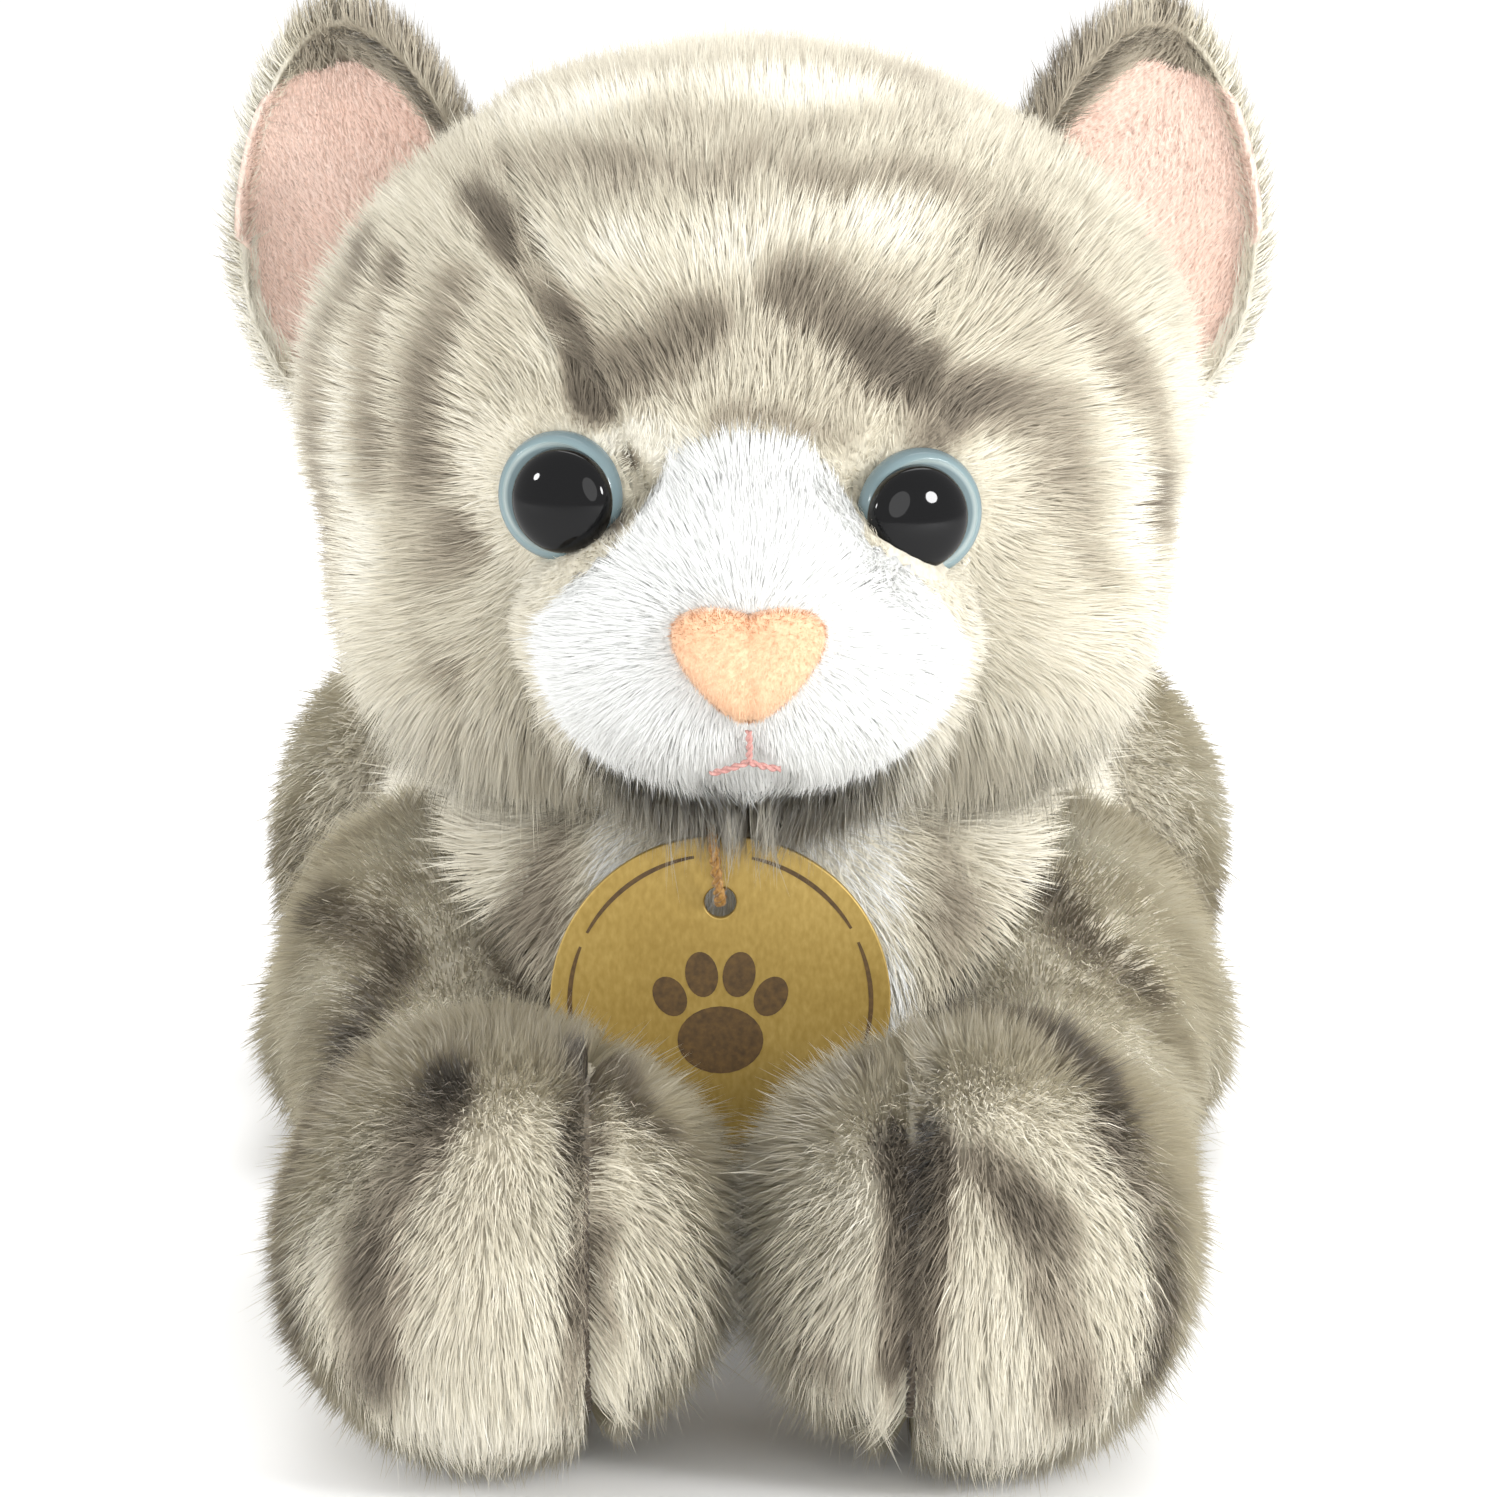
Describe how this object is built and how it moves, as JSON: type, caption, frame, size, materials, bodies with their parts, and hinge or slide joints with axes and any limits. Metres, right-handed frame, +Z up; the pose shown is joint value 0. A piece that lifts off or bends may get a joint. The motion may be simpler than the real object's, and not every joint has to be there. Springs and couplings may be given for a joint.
{
  "type": "plush cat",
  "caption": "Grey tabby plush kitten lying on its belly with stretched forelegs, raised head, white muzzle, domed plastic eyes, pink-lined ears and a round gold swing tag.",
  "frame": {"origin": "on the floor under the middle of the toy's bounding box", "axes": "+X towards the toy's left-hand side as seen by someone facing it, +Y from its face to its tail, +Z up"},
  "size_m": [0.124, 0.2831, 0.1416],
  "materials": {
    "tabby_plush": "matte",
    "white_plush": "matte",
    "pink_velour": "matte",
    "peach_velour": "matte",
    "pink_thread": "matte",
    "toe_thread": "matte",
    "stuffing": "matte",
    "bean_pouch": "matte",
    "iris_plastic": "gloss",
    "pupil_plastic": "gloss",
    "washer_plastic": "satin",
    "gold_card": "satin",
    "gold_cord": "matte",
    "label_satin": "satin"
  },
  "bodies": {
    "root": {"belly_panel": "white_plush", "left_body_panel": "tabby_plush", "right_body_panel": "tabby_plush", "body_stuffing": "stuffing", "body_bean_pouch": "bean_pouch", "care_label": "label_satin"},
    "neck": {"neck_stuffing": "stuffing"},
    "head": {"muzzle_panel": "white_plush", "forehead_gusset": "tabby_plush", "head_back_panel": "tabby_plush", "left_cheek_panel": "tabby_plush", "right_cheek_panel": "tabby_plush", "head_stuffing": "stuffing", "nose_patch": "peach_velour", "mouth_stitching": "pink_thread", "left_eye_iris": "iris_plastic", "left_eye_pupil": "pupil_plastic", "left_eye_washer": "washer_plastic", "right_eye_iris": "iris_plastic", "right_eye_pupil": "pupil_plastic", "right_eye_washer": "washer_plastic"},
    "tail": {"tail_skin": "tabby_plush", "tail_stuffing": "stuffing"},
    "tag": {"swing_tag": "gold_card", "tag_cord": "gold_cord"},
    "left_ear": {"left_ear_back": "tabby_plush", "left_ear_lining": "pink_velour"},
    "left_foreleg": {"left_foreleg_skin": "tabby_plush", "left_foreleg_stuffing": "stuffing", "left_foreleg_bean_pouch": "bean_pouch", "left_toe_stitching": "toe_thread"},
    "left_hind_leg": {"left_hind_leg_skin": "tabby_plush", "left_hind_leg_stuffing": "stuffing", "left_hind_toe_stitching": "toe_thread"},
    "right_ear": {"right_ear_back": "tabby_plush", "right_ear_lining": "pink_velour"},
    "right_foreleg": {"right_foreleg_skin": "tabby_plush", "right_foreleg_stuffing": "stuffing", "right_foreleg_bean_pouch": "bean_pouch", "right_toe_stitching": "toe_thread"},
    "right_hind_leg": {"right_hind_leg_skin": "tabby_plush", "right_hind_leg_stuffing": "stuffing", "right_hind_toe_stitching": "toe_thread"}
  },
  "joints": [
    {"name": "head_turn", "type": "hinge", "parent": "root", "child": "neck", "pos_m": [0, -0.032, 0.08], "axis": [0, 0, 1], "range_deg": [-15, 15], "stiffness_Nm_per_rad": 0.2},
    {"name": "head_nod", "type": "hinge", "parent": "neck", "child": "head", "pos_m": [0, -0.032, 0.08], "axis": [-1, 0, 0], "range_deg": [0, 12], "stiffness_Nm_per_rad": 0.3},
    {"name": "left_ear_fold", "type": "hinge", "parent": "head", "child": "left_ear", "pos_m": [-0.04, -0.031, 0.111], "axis": [0.7413, 0, 0.6712], "range_deg": [-12, 12], "stiffness_Nm_per_rad": 0.02},
    {"name": "left_foreleg_spread", "type": "hinge", "parent": "root", "child": "left_foreleg", "pos_m": [-0.0305, -0.034, 0.03], "axis": [0, 0, -1], "range_deg": [0, 16], "stiffness_Nm_per_rad": 0.1},
    {"name": "left_hind_leg_spread", "type": "hinge", "parent": "root", "child": "left_hind_leg", "pos_m": [-0.035, 0.054, 0.0275], "axis": [0, 0, -1], "range_deg": [0, 12], "stiffness_Nm_per_rad": 0.1},
    {"name": "right_ear_fold", "type": "hinge", "parent": "head", "child": "right_ear", "pos_m": [0.04, -0.031, 0.111], "axis": [0.7413, 0, -0.6712], "range_deg": [-12, 12], "stiffness_Nm_per_rad": 0.02},
    {"name": "right_foreleg_spread", "type": "hinge", "parent": "root", "child": "right_foreleg", "pos_m": [0.0305, -0.034, 0.03], "axis": [0, 0, 1], "range_deg": [0, 16], "stiffness_Nm_per_rad": 0.1},
    {"name": "right_hind_leg_spread", "type": "hinge", "parent": "root", "child": "right_hind_leg", "pos_m": [0.035, 0.054, 0.0275], "axis": [0, 0, 1], "range_deg": [0, 12], "stiffness_Nm_per_rad": 0.1},
    {"name": "tail_swing", "type": "hinge", "parent": "root", "child": "tail", "pos_m": [0.001, 0.095, 0.027], "axis": [0, 0, 1], "range_deg": [-12, 12], "stiffness_Nm_per_rad": 0.05},
    {"name": "tag_swing", "type": "hinge", "parent": "root", "child": "tag", "pos_m": [-0.003, -0.0796, 0.06], "axis": [-1, 0, 0], "range_deg": [-3, 5]}
  ]
}
